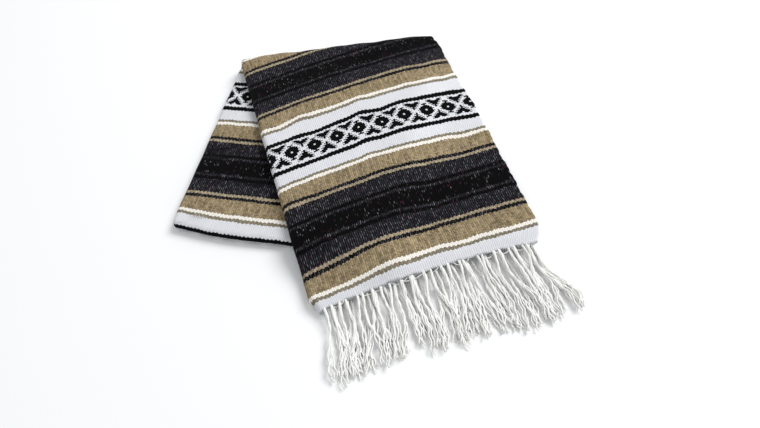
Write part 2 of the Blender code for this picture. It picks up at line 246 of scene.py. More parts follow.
    # The diamonds: how many ribs from the nearest diamond's middle, and which row. The picked-in rows
    # lie a little unevenly from rib to rib.
    column = add_node(cloth, "ShaderNodeMath", rib, DIAMOND_RIBS / 2, operation="PINGPONG")
    between = add_node(cloth, "ShaderNodeMath", DIAMOND_RIBS / 2, column, operation="SUBTRACT")
    rib_luck = add_node(cloth, "ShaderNodeTexWhiteNoise", None, rib, noise_dimensions="1D")
    uneven = add_node(cloth, "ShaderNodeMath", rib_luck, ROW_STEP, wave, operation="MULTIPLY_ADD")
    even_run = add_node(cloth, "ShaderNodeMath", along.outputs[1], uneven, operation="ADD")
    even = add_node(cloth, "ShaderNodeMath", even_run, STRIPE_REPEAT / 2, operation="PINGPONG")
    row_share = add_node(cloth, "ShaderNodeMath", even, 1 / (len(CHART) * CHART_ROW), operation="MULTIPLY")
    chart = add_node(cloth, "ShaderNodeValToRGB", row_share)
    rows = [(*[ribs_wide / CHART_FULL for ribs_wide in row], 1.0) for row in CHART]
    fill_ramp(chart, [(number / len(CHART), row) for number, row in enumerate(rows)])
    widths = add_node(cloth, "ShaderNodeSeparateColor", chart)
    column_share = add_node(cloth, "ShaderNodeMath", column, 1 / CHART_FULL, operation="MULTIPLY")
    between_share = add_node(cloth, "ShaderNodeMath", between, 1 / CHART_FULL, operation="MULTIPLY")
    hole_free = add_node(cloth, "ShaderNodeMath", widths.outputs[2], 0.001, operation="LESS_THAN")
    marks = []
    for reach, width in ((column_share, widths.outputs[0]), (between_share, widths.outputs[1])):
        inside = add_node(cloth, "ShaderNodeMath", reach, width, operation="LESS_THAN")
        outside = add_node(cloth, "ShaderNodeMath", reach, widths.outputs[2], operation="GREATER_THAN")
        open_row = add_node(cloth, "ShaderNodeMath", outside, hole_free, operation="MAXIMUM")
        marks.append(add_node(cloth, "ShaderNodeMath", inside, open_row, operation="MULTIPLY"))
    mark = add_node(cloth, "ShaderNodeMath", marks[0], marks[1], operation="MAXIMUM")
    charted = add_node(cloth, "ShaderNodeMixRGB", mark, flecked, linear(BLACK))

    # Grooves between ribs and between yarns get painted shade: their colour is darkened, more deeply in the
    # more heathered stripes.
    pick_place = add_node(cloth, "ShaderNodeMath", half_step, 0.5, operation="PINGPONG")
    depth = add_node(cloth, "ShaderNodeMath", heather.outputs[0], -0.40, 0.86, operation="MULTIPLY_ADD")
    rib_painted_shade = add_node(cloth, "ShaderNodeMapRange", rib_place, 0.0, GROOVE_WIDE, depth, 1.0)
    pick_painted_shade = add_node(cloth, "ShaderNodeMapRange", pick_place, 0.0, 0.2, 0.88, 1.0)
    shade = add_node(cloth, "ShaderNodeMath", rib_painted_shade, pick_painted_shade, operation="MULTIPLY")
    with_painted_shade = add_node(cloth, "ShaderNodeVectorMath", charted, operation="SCALE")
    cloth.node_tree.links.new(shade.outputs[0], with_painted_shade.inputs["Scale"])

    # Ribs and yarns are round. The hairs are drawn 0.4 mm apart, coarser than real ones, so that they show.
    rib_height = add_node(cloth, "ShaderNodeMath", rib_place, 0.5, operation="POWER")
    height = add_node(cloth, "ShaderNodeMath", pick_place, 0.7, rib_height, operation="MULTIPLY_ADD")
    hairs = add_node(cloth, "ShaderNodeTexNoise", place, None, 2500.0, 3.0)
    hairy = add_node(cloth, "ShaderNodeMath", hairs, 0.35, height, operation="MULTIPLY_ADD")
    bump = add_node(cloth, "ShaderNodeBump", 0.8, 0.0007)
    cloth.node_tree.links.new(hairy.outputs[0], bump.inputs["Height"])

    surface = cloth.node_tree.nodes["Principled BSDF"]
    cloth.node_tree.links.new(with_painted_shade.outputs[0], surface.inputs["Base Color"])
    cloth.node_tree.links.new(bump.outputs[0], surface.inputs["Normal"])
    surface.inputs["Roughness"].default_value = 0.95
    surface.inputs["Specular IOR Level"].default_value = 0.06
    surface.inputs["Sheen Weight"].default_value = 0.015
    surface.inputs["Sheen Roughness"].default_value = 0.6
    return cloth


weave = make_weave()


# The upper leg's outer layer: one sheet that rolls under at the left, lies over the stack, folds under
# itself at the open right side, and at the back goes round the slanted fold to the table.
# Its warp ends run out into the fringe at the front.

# Places on each leg of the folded strip are given across it (u, from its left edge) and along it (v, from
# the middle of its diamond band towards the free end). The strip is eight layers of cloth.
STRIP, LAYER = 0.320, 0.002
STACK = 8 * LAYER
ROLLED = STACK / 2  # radius of a rolled edge
UPPER_LEG = {"x": -0.1059, "y": 0.0527, "turn": math.radians(8.35)}
LOWER_LEG = {"x": -0.1670, "y": 0.2161, "turn": math.radians(-21.06)}
LOWER_LENGTH = 0.258
DRAPE_START, DRAPE_REACH = 0.008, 0.055  # where the upper leg comes down beside the lower one
OUTER_WALL = 0.0017  # thickness of an outer sheet
RIB_HIGH = 0.00030  # from a groove to the rib's top
RIDGES = (  # cream line and border: middle, width, height
    (0.0588, 0.0026, 0.00055),
    (0.0265, 0.0028, 0.00035),
)


def smooth(t):
    """Rises softly from 0 to 1."""
    t = np.clip(t, 0.0, 1.0)
    return t * t * (3 - 2 * t)


def to_world(leg, u, v):
    """x and y of a place on a leg."""
    c, s = math.cos(leg["turn"]), math.sin(leg["turn"])
    return leg["x"] + u * c + v * s, leg["y"] + u * s - v * c


def to_strip(leg, x, y):
    """The place on a leg that lies over x and y."""
    c, s = math.cos(leg["turn"]), math.sin(leg["turn"])
    dx, dy = x - leg["x"], y - leg["y"]
    return dx * c + dy * s, dx * s - dy * c


def upper_top(u, v):
    """Height of the upper leg's face: two legs high on the lower leg, one leg high on the table."""
    u2, v2 = to_strip(LOWER_LEG, *to_world(UPPER_LEG, u, v))
    past_side, past_end = u2 - STRIP, v2 - LOWER_LENGTH
    inside = np.maximum(past_side, past_end)
    beyond = np.hypot(np.maximum(past_side, 0), np.maximum(past_end, 0))
    outside = np.where(inside < 0, inside, beyond)
    return STACK * (2 - smooth((outside + DRAPE_START) / (DRAPE_REACH + DRAPE_START)))


def rib_relief(across):
    """The ribs stand a little proud of the grooves between them."""
    return RIB_HIGH * (0.5 - 2 * np.abs(across / RIB - np.floor(across / RIB) - 0.5))


def lofty(along):
    """The thick soft weft of the cream lines and the borders stands up in low ridges."""
    away = np.abs((along / STRIPE_REPEAT + 0.5) % 1.0 - 0.5) * STRIPE_REPEAT
    return sum(high * np.exp(-(((away - middle) / wide) ** 2)) for middle, wide, high in RIDGES)


def swells(u, v, table):
    """The sum of a table's long soft swells, each with its middle, length, width, turn and height."""
    total = 0.0
    for swell in table:
        c, s = math.cos(math.radians(swell["turn"])), math.sin(math.radians(swell["turn"]))
        a = ((u - swell["u"]) * c - (v - swell["v"]) * s) / swell["long"]
        b = ((u - swell["u"]) * s + (v - swell["v"]) * c) / swell["wide"]
        total = total + swell["high"] * np.exp(-((2 * a) ** 2) - b**2)
    return total


def unevenness(u, v, creases):
    """Slack in the layers below leaves the face uneven by less than half a millimetre, with soft creases."""
    height = 0.00045 * np.sin(u * 68 + v * 22 + 0.4) * np.sin(v * 47 + 1.1)
    height += 0.00035 * np.sin(v * 92 + 2.2 * np.sin(u * 21))
    return height + swells(u, v, creases)


def lay_out(piece, points, across, along, thick):
    """Moves a grid's points into place, maps the cloth on it and gives it its thickness inwards."""
    mesh = piece.data
    mesh.vertices.foreach_set("co", np.stack(points, axis=1).astype(np.float32).ravel())
    for layer in list(mesh.uv_layers):
        mesh.uv_layers.remove(layer)
    corners = np.zeros(len(mesh.loops), np.int32)
    mesh.loops.foreach_get("vertex_index", corners)
    uv = mesh.uv_layers.new(name="weave")
    uv.data.foreach_set("uv", np.stack((across, along), axis=1)[corners].astype(np.float32).ravel())
    mesh.update()
    mesh.shade_smooth()
    wall = piece.modifiers.new("thickness", "SOLIDIFY")
    wall.thickness = thick
    wall.offset = -1.0
    bpy.ops.object.modifier_apply(modifier=wall.name)


def places_of(piece):
    """The coordinates of a piece's points, one row for each."""
    co = np.zeros(len(piece.data.vertices) * 3, np.float32)
    piece.data.vertices.foreach_get("co", co)
    return co.reshape(-1, 3).astype(float)


def step_at(steps, place):
    """Which of a list of steps a point of a grid one metre wide stands for."""
    return steps[np.rint((place + 0.5) * (len(steps) - 1)).astype(int)]


# The creases, and further down the strays of the weft, are listed one by one.
CREASES = [  # u, v, length and width of each, the way it runs from straight across, and its height
    {"u": 0.070, "v": -0.035, "long": 0.085, "wide": 0.016, "turn": 24, "high": -0.0012},
    {"u": 0.155, "v": 0.010, "long": 0.060, "wide": 0.014, "turn": 78, "high": -0.0011},
    {"u": 0.210, "v": 0.060, "long": 0.080, "wide": 0.018, "turn": 66, "high": 0.0012},
    {"u": 0.268, "v": -0.070, "long": 0.070, "wide": 0.017, "turn": 40, "high": 0.0014},
    {"u": 0.175, "v": 0.190, "long": 0.075, "wide": 0.020, "turn": 12, "high": -0.0015},
    {"u": 0.060, "v": 0.195, "long": 0.070, "wide": 0.020, "turn": -8, "high": 0.0012},
    {"u": 0.280, "v": 0.215, "long": 0.060, "wide": 0.016, "turn": 20, "high": 0.0010},
    {"u": 0.110, "v": -0.120, "long": 0.090, "wide": 0.015, "turn": 6, "high": 0.0010},
]
FOLD_TURN = (UPPER_LEG["turn"] + LOWER_LEG["turn"]) / 2  # the slanted fold halves the legs' angle
FOLD_SLANT = UPPER_LEG["turn"] - FOLD_TURN
FOLD_V = -0.2222  # where the slanted fold meets the upper leg's left edge
FOLD_SLIP = 0.0068  # how far the layers slip along the slanted fold as they go round it
END_V, END_BOW, END_MIDDLE = 0.2499, 0.352, 0.120  # the free end is a shallow bow, shortest at END_MIDDLE
LAST_WHITE = 0.2545  # the cloth ends in its white band, just before the next black border
NOSE = 0.003  # radius of the small fold at the right
UNDER = 0.014  # how far the sheet goes back in below that fold
ROLL_ARC = ROLLED * math.radians(150)  # and how far round the rolled edge it goes
LEVEL = STRIP - ROLLED - NOSE  # width between the rolled edge and the small fold
WIDTH_AT = [-0.138, -0.128, -0.100, 0.000, 0.090, 0.180, 0.265]  # v
WIDTHS = [0.3120, 0.3165, 0.3185, 0.3230, 0.3200, 0.3185, 0.3165]  # and the strip's width there
DROOP, DROOP_FROM = 0.14, 0.014  # share by which the free end sinks, and how far from the end that starts
END_SHORT = 0.0007  # how far back from its line the ragged free end lies on average
STRAYS = [  # where beating and creasing have pushed the weft towards the free end, or back from it
    {"u": 0.272, "v": -0.078, "long": 0.100, "wide": 0.018, "turn": 60, "high": 0.0058},
    {"u": 0.213, "v": 0.042, "long": 0.100, "wide": 0.018, "turn": 60, "high": 0.0030},
    {"u": 0.316, "v": -0.057, "long": 0.060, "wide": 0.012, "turn": 60, "high": -0.0058},
    {"u": 0.260, "v": 0.048, "long": 0.120, "wide": 0.020, "turn": 58, "high": -0.0050},
    {"u": 0.152, "v": -0.005, "long": 0.140, "wide": 0.014, "turn": 84, "high": -0.0034},
    {"u": 0.062, "v": -0.045, "long": 0.090, "wide": 0.016, "turn": 70, "high": -0.0034},
    {"u": 0.030, "v": -0.050, "long": 0.050, "wide": 0.010, "turn": 90, "high": 0.0018},
    {"u": 0.182, "v": 0.195, "long": 0.070, "wide": 0.024, "turn": 15, "high": -0.0045},
    {"u": 0.245, "v": 0.194, "long": 0.080, "wide": 0.016, "turn": 0, "high": -0.0026},
    {"u": 0.060, "v": 0.205, "long": 0.100, "wide": 0.028, "turn": 0, "high": 0.0026},
    {"u": 0.292, "v": 0.232, "long": 0.080, "wide": 0.014, "turn": 0, "high": 0.0028},
    {"u": 0.018, "v": 0.092, "long": 0.050, "wide": 0.010, "turn": 0, "high": -0.0024},
    {"u": 0.172, "v": 0.228, "long": 0.040, "wide": 0.014, "turn": 0, "high": -0.0026},
    {"u": 0.075, "v": -0.024, "long": 0.080, "wide": 0.020, "turn": 0, "high": 0.0050},
    {"u": 0.185, "v": -0.026, "long": 0.045, "wide": 0.020, "turn": 0, "high": 0.0036},
    {"u": 0.247, "v": -0.022, "long": 0.050, "wide": 0.018, "turn": 0, "high": 0.0030},
    {"u": 0.066, "v": 0.030, "long": 0.160, "wide": 0.020, "turn": 0, "high": 0.0028},
    {"u": 0.172, "v": 0.028, "long": 0.045, "wide": 0.016, "turn": 0, "high": 0.0024},
]


def end_v(u):
    """The free end of the upper leg."""
    return END_V + END_BOW * (u - END_MIDDLE) ** 2


def fold_v(u):
    """The slanted fold, which is a little uneven and draws in at its right corner."""
    uneven = 0.0011 * np.sin(u * 62 + 0.5) + 0.0006 * np.sin(u * 151)
    return FOLD_V + u * math.tan(FOLD_SLANT) + uneven + 0.004 * smooth((u - 0.296) / 0.024)


def straight_weft(u, v):
    """How far the weft at this place lies from where a straight one would."""
    w = u / STRIP - 0.5
    bow = STRIP * (0.076 * w**2 - 0.035 * w**3 - 0.002 * w)
    return bow + swells(u, v, STRAYS)


def width_at(v):
    """The strip's width at a place along it. Its right side ripples where the pairs lie loose."""
    ripple = 0.0006 * np.sin(v * 210 + 0.6) + 0.0004 * np.sin(v * 530)
    return np.interp(v, WIDTH_AT, WIDTHS) + ripple


def upper_section(across, width):
    """For a place across the cloth: u, the depth below the leg's face, and the way out of the cloth."""
    over = across - ROLLED
    level = width - ROLLED - NOSE
    turn = np.clip(-over / ROLLED, 0, None)
    past = over - LEVEL
    nose_turn = np.clip(past / NOSE, 0, math.pi)
    back = np.clip(past - math.pi * NOSE, 0, None)
    u = ROLLED + np.clip(over, 0, LEVEL) * level / LEVEL
    u = u - ROLLED * np.sin(turn) + NOSE * np.sin(nose_turn) - back
    depth = ROLLED * (1 - np.cos(turn)) + NOSE * (1 - np.cos(nose_turn))
    out_u = np.sin(nose_turn) - np.sin(turn)
    out_z = np.where(turn > 0, np.cos(turn), np.cos(nose_turn))
    return u, depth, out_u, out_z


def round_fold(u, depth, turn):
    """A point of the leg's section carried round the slanted fold."""
    x, y = to_world(UPPER_LEG, u, fold_v(u))
    arm = STACK - depth
    slip = -FOLD_SLIP * turn / math.pi
    c, s = math.cos(FOLD_TURN), math.sin(FOLD_TURN)
    out = arm * np.sin(turn)
    return x + slip * c - out * s, y + slip * s + out * c, STACK + arm * np.cos(turn)


def drawn_in(u, v):
    """How far the twisted fringe draws in the two corners of the free end."""
    near = smooth(1 - (end_v(u) - v) / 0.024)
    left, right = 0.007 * (1 - smooth(u / 0.050)), 0.012 * smooth((u - 0.240) / 0.080)
    return near * (left - right)


def on_upper(u, depth, far):
    """A point of the leg: far is 0 at the free end, 1 at the slanted fold and 2 on the table behind it."""
    ragged = 0.0005 * np.sin(u * 210 + 1.0) + 0.0004 * np.sin(u * 530)
    v = (end_v(u) - END_SHORT + ragged) * (1 - np.clip(far, 0, 1)) + fold_v(u) * np.clip(far, 0, 1)
    x, y = to_world(UPPER_LEG, u + drawn_in(u, v), v)
    droop = DROOP * (1 - smooth((end_v(u) - v) / DROOP_FROM))
    z = (upper_top(np.maximum(u, ROLLED), v) - depth) * (1 - droop)
    turned = round_fold(u, depth, np.clip(far - 1, 0, 1) * math.pi)
    return [np.where(far > 1, b, a) for a, b in zip((x, y, z), turned)], v


# Every rib and every groove is a column of points, so the ribs are real.
columns = np.arange(math.ceil((ROLLED - ROLL_ARC) / RIB * 2), (STRIP + math.pi * NOSE + UNDER) / RIB * 2)
leg_rows, fold_rows = 144, 16
fars = np.concatenate((np.linspace(0, 1, leg_rows + 1), 1 + np.linspace(0, 1, fold_rows + 1)[1:]))
bpy.ops.mesh.primitive_grid_add(x_subdivisions=len(columns) - 1, y_subdivisions=len(fars) - 1, size=1.0)
upper_cloth = bpy.context.object
upper_cloth.name = "upper_layer"
spots = places_of(upper_cloth)
across = step_at(columns, spots[:, 0]) * RIB / 2
far = step_at(fars, spots[:, 1])
rough_v = END_V * (1 - np.clip(far, 0, 1)) + fold_v(across) * np.clip(far, 0, 1)
u, depth, out_u, out_z = upper_section(across, width_at(rough_v))
_, v = on_upper(u, depth, far)
fold_arc = np.clip(far - 1, 0, 1) * math.pi * STACK
cloth_across = across + fold_arc * math.sin(FOLD_SLANT)
cloth_along = v - straight_weft(np.clip(u, 0, STRIP), v) - fold_arc * math.cos(FOLD_SLANT)
cloth_along = np.minimum(cloth_along, LAST_WHITE)
rise = rib_relief(cloth_across) + lofty(cloth_along) + unevenness(u, v, CREASES)
points, _ = on_upper(u + out_u * rise, depth - out_z * rise, far)
points[2] = np.maximum(points[2], 0.0)
lay_out(upper_cloth, points, cloth_across, cloth_along, OUTER_WALL)
upper_cloth.data.materials.append(weave)
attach(upper_cloth, "root")
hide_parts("upper_cloth")


# The lower leg's outer layer: the same sheet where it comes out of the slanted fold. It rolls under along
# its left side and goes round the front fold, which halves the blanket across and has a black border on it.
CORNER = 0.010  # radius of the front corner seen from above
CORE = CORNER - ROLLED  # and of what lies flat inside its roll
FRONT_DRAWN, FRONT_DRAWN_OVER = 0.0065, 0.085  # how far the fold draws in at its left, and over what width
HIDDEN_BY = 0.013  # how far the sheet goes in below the upper leg
FOLD_GAP = 0.0004  # left between the two outer sheets at the slanted fold
LOWER_CREASES = [
    {"u": 0.060, "v": 0.120, "long": 0.080, "wide": 0.016, "turn": 10, "high": -0.0008},
    {"u": 0.050, "v": 0.205, "long": 0.070, "wide": 0.016, "turn": -16, "high": 0.0009},
    {"u": 0.100, "v": 0.060, "long": 0.060, "wide": 0.014, "turn": 70, "high": -0.0008},
]


def lower_end_v(u):
    """The front fold, which draws in at its left corner."""
    return LOWER_LENGTH - FRONT_DRAWN * (1 - smooth(u / FRONT_DRAWN_OVER))


def on_lower(across, along):
    """A point of the lower leg's cloth: where it lies, the way out of it, and its place on the cloth."""
    end = lower_end_v(np.clip(across, 0, None))
    side, front = CORNER - across, along - (end - CORNER)
    at_corner = (side > 0) & (front > 0)
    side, front = np.clip(side, 0, None), np.clip(front, 0, None)
    length = np.maximum(np.hypot(side, front), 1e-9)
    reach = np.maximum(side, front)
    nu, nv = -side / length, front / length
    arc = np.clip(reach - CORE, 0, None)
    turn = arc / ROLLED
    out = np.minimum(reach, CORE) + ROLLED * np.sin(turn)
    centre_u = np.where(across < CORNER, CORNER, across)
    centre_v = np.where(front > 0, end - CORNER, along)
    flat = reach <= 0
    u = np.where(flat, across, centre_u + nu * out)
    v = np.where(flat, along, centre_v + nv * out)
    z = STACK - ROLLED * (1 - np.cos(turn))
    ways = (nu * np.sin(turn), nv * np.sin(turn), np.cos(turn))
    cloth_u = np.where(at_corner, centre_u + nu * reach, across)
    cloth_v = np.where(at_corner, centre_v + nv * reach, along)
    return u, v, z, ways, cloth_u, cloth_v


def fold_line(leg_u):
    """v on the lower leg where it comes out of the slanted fold."""
    u0, v0 = to_strip(LOWER_LEG, *to_world(UPPER_LEG, 0.0, FOLD_V))
    return v0 - (leg_u - u0) * math.tan(FOLD_SLANT) + FOLD_GAP


def cut(piece, start, end):
    """Cuts the flat sheet along a straight line and drops what lies to the right of it."""
    dx, dy = end[0] - start[0], end[1] - start[1]
    bpy.ops.object.mode_set(mode="EDIT")
    bpy.ops.mesh.select_all(action="SELECT")
    bpy.ops.mesh.bisect(plane_co=(*start, 0.0), plane_no=(dy, -dx, 0.0), clear_outer=True)
    bpy.ops.object.mode_set(mode="OBJECT")


# A flat grid is cut to what shows, and its points are then carried round the edges and the corner.
GRID_RIGHT, GRID_BACK, GRID_ROW = 0.200, -0.100, 0.0028  # its right side and back, and its rows' length
first, last = math.ceil((ROLLED - ROLL_ARC) / RIB * 2), math.floor(GRID_RIGHT / RIB * 2)
back, front = GRID_BACK, LOWER_LENGTH - ROLLED + ROLL_ARC
rows = round((front - back) / GRID_ROW)
bpy.ops.mesh.primitive_grid_add(x_subdivisions=last - first, y_subdivisions=rows, size=1.0)
lower_cloth = bpy.context.object
lower_cloth.name = "lower_layer"
spots = places_of(lower_cloth)
spots[:, 0] = (first + (spots[:, 0] + 0.5) * (last - first)) * RIB / 2
spots[:, 1] = back + (0.5 - spots[:, 1]) * (front - back)
spots[:, 2] = 0.0
lower_cloth.data.vertices.foreach_set("co", spots.astype(np.float32).ravel())
lower_cloth.data.update()
edge = [to_strip(LOWER_LEG, *to_world(UPPER_LEG, HIDDEN_BY, v)) for v in (-0.3, 0.3)]
cut(lower_cloth, edge[0], edge[1])
cut(lower_cloth, (-0.1, fold_line(-0.1)), (0.3, fold_line(0.3)))
spots = places_of(lower_cloth)
across, along = spots[:, 0], spots[:, 1]
u, v, z, ways, cloth_across, cloth_along = on_lower(across, along)
# The stripes near the front fold follow it where it draws in.
drawn = (LOWER_LENGTH - lower_end_v(np.clip(u, 0, None))) * smooth((cloth_along - 0.190) / 0.055)
cloth_along = cloth_along + drawn
rise = rib_relief(cloth_across) + lofty(cloth_along) + unevenness(u, v, LOWER_CREASES)
x, y = to_world(LOWER_LEG, u + ways[0] * rise, v + ways[1] * rise)
lay_out(lower_cloth, (x, y, z + ways[2] * rise), cloth_across, cloth_along, OUTER_WALL)
lower_cloth.data.materials.append(weave)
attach(lower_cloth, "root")
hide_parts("lower_cloth")


# Inside lie the other seven layers of the folded blanket, all of the same cloth: one by itself and three
# folded pairs. They show as small rolled edges at the open right side, in the fold and behind the fringe.
# Nothing holds them but the folding.
INNER_WALL = 0.00135  # thickness of an inner layer
BORE = ROLLED - 0.0021  # radius of the room inside a rolled edge
LAYERS = [  # depth below the face, height of a pair's small fold, distance from the right, and setback
    {"depth": 0.0032, "pair": 0.0, "inset": 0.0195, "setback": 0.0022, "seed": 3},
    {"depth": 0.0062, "pair": 0.0031, "inset": 0.0028, "setback": 0.0010, "seed": 5},
    {"depth": 0.0094, "pair": 0.0030, "inset": 0.0006, "setback": 0.0030, "seed": 7},
    {"depth": 0.0125, "pair": 0.0030, "inset": 0.0038, "setback": 0.0018, "seed": 9},
]
TUCK = 0.012  # how far short of the front fold the layers of the lower leg end


def inner_left(depth):
    """Where a layer starts at the left, inside the rolled edge."""
    return ROLLED - np.sqrt(np.clip(BORE**2 - (depth - ROLLED) ** 2, 0, None)) + 0.0003


def inner_section(place, layer, far):
    """u and depth of a place: 0 at the top left, 1 to 2 round the small fold, 3 at the bottom left."""
    nose = layer["pair"] / 2
    chance = np.random.default_rng(layer["seed"])
    a, b = chance.uniform(0, 2 * math.pi, 2)
    inset = layer["inset"] + 0.0014 * np.sin(far * 9 + a) + 0.0009 * np.sin(far * 23 + b)
    v = END_V * (1 - np.clip(far, 0, 1)) + fold_v(STRIP) * np.clip(far, 0, 1)
    right = width_at(v) - inset - nose
    top, under = np.clip(place, 0, 1), np.clip(place - 2, 0, 1)
    turn = np.clip(place - 1, 0, 1) * math.pi
    left = np.where(place < 1.5, inner_left(layer["depth"]), inner_left(layer["depth"] + layer["pair"]))
    u = np.where(place < 1.5, left + (right - left) * top, right + (left - right) * under)
    return u + nose * np.sin(turn), layer["depth"] + nose * (1 - np.cos(turn))


def on_inner(u, depth, far, setback):
    """A point of a layer: far is 0 at the free end, 1 to 2 round the slanted fold, 3 near the front fold."""
    points, v = on_upper(u, depth, far)
    back = setback * np.clip(1 - far * 8, 0, 1)
    c, s = math.cos(UPPER_LEG["turn"]), math.sin(UPPER_LEG["turn"])
    points[0], points[1] = points[0] - back * s, points[1] + back * c
    u2, v2 = to_strip(LOWER_LEG, points[0], points[1])
    v2 = v2 + (LOWER_LENGTH - TUCK - v2) * np.clip(far - 2, 0, 1)
    x, y = to_world(LOWER_LEG, u2, v2)
    lower = far > 2
    laid = (np.where(lower, x, points[0]), np.where(lower, y, points[1]), points[2])
    return laid, np.where(lower, v2, v)


sheets = []
top_places = 1 - np.array([1.0, 0.8, 0.6, 0.45, 0.3, 0.2, 0.12, 0.06, 0.03, 0.01])
nose_places = 1 + np.linspace(0, 1, 9)
under_places = 3 - top_places[-2::-1]
leg_fars, fold_fars, lower_fars = (np.linspace(0, 1, count) for count in (71, 15, 13))
inner_fars = np.concatenate((leg_fars, 1 + fold_fars[1:], 2 + lower_fars[1:]))
for layer in LAYERS:
    if layer["pair"]:
        steps = np.concatenate((top_places, nose_places, under_places))
    else:
        steps = np.concatenate((top_places, [1.0]))
    bpy.ops.mesh.primitive_grid_add(
        x_subdivisions=len(steps) - 1, y_subdivisions=len(inner_fars) - 1, size=1.0
    )
    sheet = bpy.context.object
    spots = places_of(sheet)
    place = step_at(steps, spots[:, 0])
    far = step_at(inner_fars, spots[:, 1])
    u, depth = inner_section(place, layer, far)
    setback = layer["setback"] + 0.0011 * np.sin(u * 60 + layer["seed"])
    setback = setback + np.where(place > 1.5, 0.0012, 0.0)
    points, v = on_inner(u, depth, far, setback)
    along = v - np.where(far > 2, 0.0, straight_weft(np.clip(u, 0, STRIP), v))
    along = np.where(far > 2, along, np.minimum(along, LAST_WHITE))
    lay_out(sheet, points, u + np.where(place > 1.5, 2 * (STRIP - u), 0.0), along, INNER_WALL)
    sheets.append(sheet)
for sheet in sheets:
    sheet.select_set(True)
bpy.context.view_layer.objects.active = sheets[0]
bpy.ops.object.join()
inner = bpy.context.object
inner.name = "inner_layers"
inner.data.materials.append(weave)
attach(inner, "root")
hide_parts("hidden_layers")


# The fringe is the cotton warp, left long at the ends of the cloth. Four or five yarns together are twisted
# into a strand. The strands drop to the table, cross, gather into locks and fray towards their tips.
YARN = 0.00105  # radius of one yarn
PLY_TURN = 0.0042  # length of one turn of its two plies
YARN_SIDES = 6
STRANDS = 26
STRAND_PITCH = (STRIP - 0.016) / STRANDS
FRINGE_U = [0.00, 0.05, 0.12, 0.16, 0.20, 0.27, 0.32]
FRINGE_LONG = [0.101, 0.104, 0.103, 0.112, 0.115, 0.120, 0.107]  # the fringe's length at each FRINGE_U
FALL = 0.050  # how far from the cloth a strand reaches the table
SPREAD, FRAYED = 0.0009, 0.0021  # of a strand's yarns from its middle, and how much more at its tip
ROWS = [  # heights where the row leaves the cloth and where it lies, shift to the right, how much shorter
    {"node": "fringe_top", "top": 0.0122, "rest": 0.0046, "shift": 0.0000, "shorten": 0.000, "seed": 11},
    {"node": "fringe_middle", "top": 0.0076, "rest": 0.0029, "shift": 0.0040, "shorten": 0.004, "seed": 23},
    {"node": "fringe_bottom", "top": 0.0025, "rest": 0.0014, "shift": 0.0080, "shorten": 0.009, "seed": 37},
]


def make_warp_yarn():
    """Two-ply off-white cotton. Its plies catch the light as slanting ridges, the grooves between them carry
    painted shade, and its tone varies.

    Its hairs are drawn about a millimetre apart, coarser than real ones, so that they show.
    """
    yarn = bpy.data.materials.new("unbleached_cotton_warp_yarn")
    yarn.use_nodes = True
    place = add_node(yarn, "ShaderNodeUVMap", uv_map="yarn")
    parts = add_node(yarn, "ShaderNodeSeparateXYZ", place)
    turns = add_node(yarn, "ShaderNodeMath", parts.outputs[1], 1 / PLY_TURN, operation="MULTIPLY")
    twist = add_node(yarn, "ShaderNodeMath", turns, parts.outputs[0], operation="ADD")
    ply = add_node(yarn, "ShaderNodeMath", twist, 0.25, operation="PINGPONG")
    ridge = add_node(yarn, "ShaderNodeMath", ply, 0.6, operation="POWER")
    hairs = add_node(yarn, "ShaderNodeTexNoise", place, None, 900.0, 3.0)
    height = add_node(yarn, "ShaderNodeMath", hairs, 0.25, ridge, operation="MULTIPLY_ADD")
    bump = add_node(yarn, "ShaderNodeBump", 0.7, 0.0006)
    yarn.node_tree.links.new(height.outputs[0], bump.inputs["Height"])
    # Painted shade: the colour is darkened in the grooves between the plies.
    groove = add_node(yarn, "ShaderNodeMapRange", ply, 0.0, 0.10, 0.80, 1.0)
    lot = add_node(yarn, "ShaderNodeTexNoise", place, None, 5.0, 1.0)
    dye = add_node(yarn, "ShaderNodeMixRGB", lot, linear("#fdfefd"), linear("#f3f1eb"))
    with_painted_shade = add_node(yarn, "ShaderNodeVectorMath", dye, operation="SCALE")
    yarn.node_tree.links.new(groove.outputs[0], with_painted_shade.inputs["Scale"])
    surface = yarn.node_tree.nodes["Principled BSDF"]
    yarn.node_tree.links.new(with_painted_shade.outputs[0], surface.inputs["Base Color"])
    yarn.node_tree.links.new(bump.outputs[0], surface.inputs["Normal"])
    surface.inputs["Roughness"].default_value = 0.9
    surface.inputs["Specular IOR Level"].default_value = 0.2
    surface.inputs["Sheen Weight"].default_value = 0.15
    return yarn


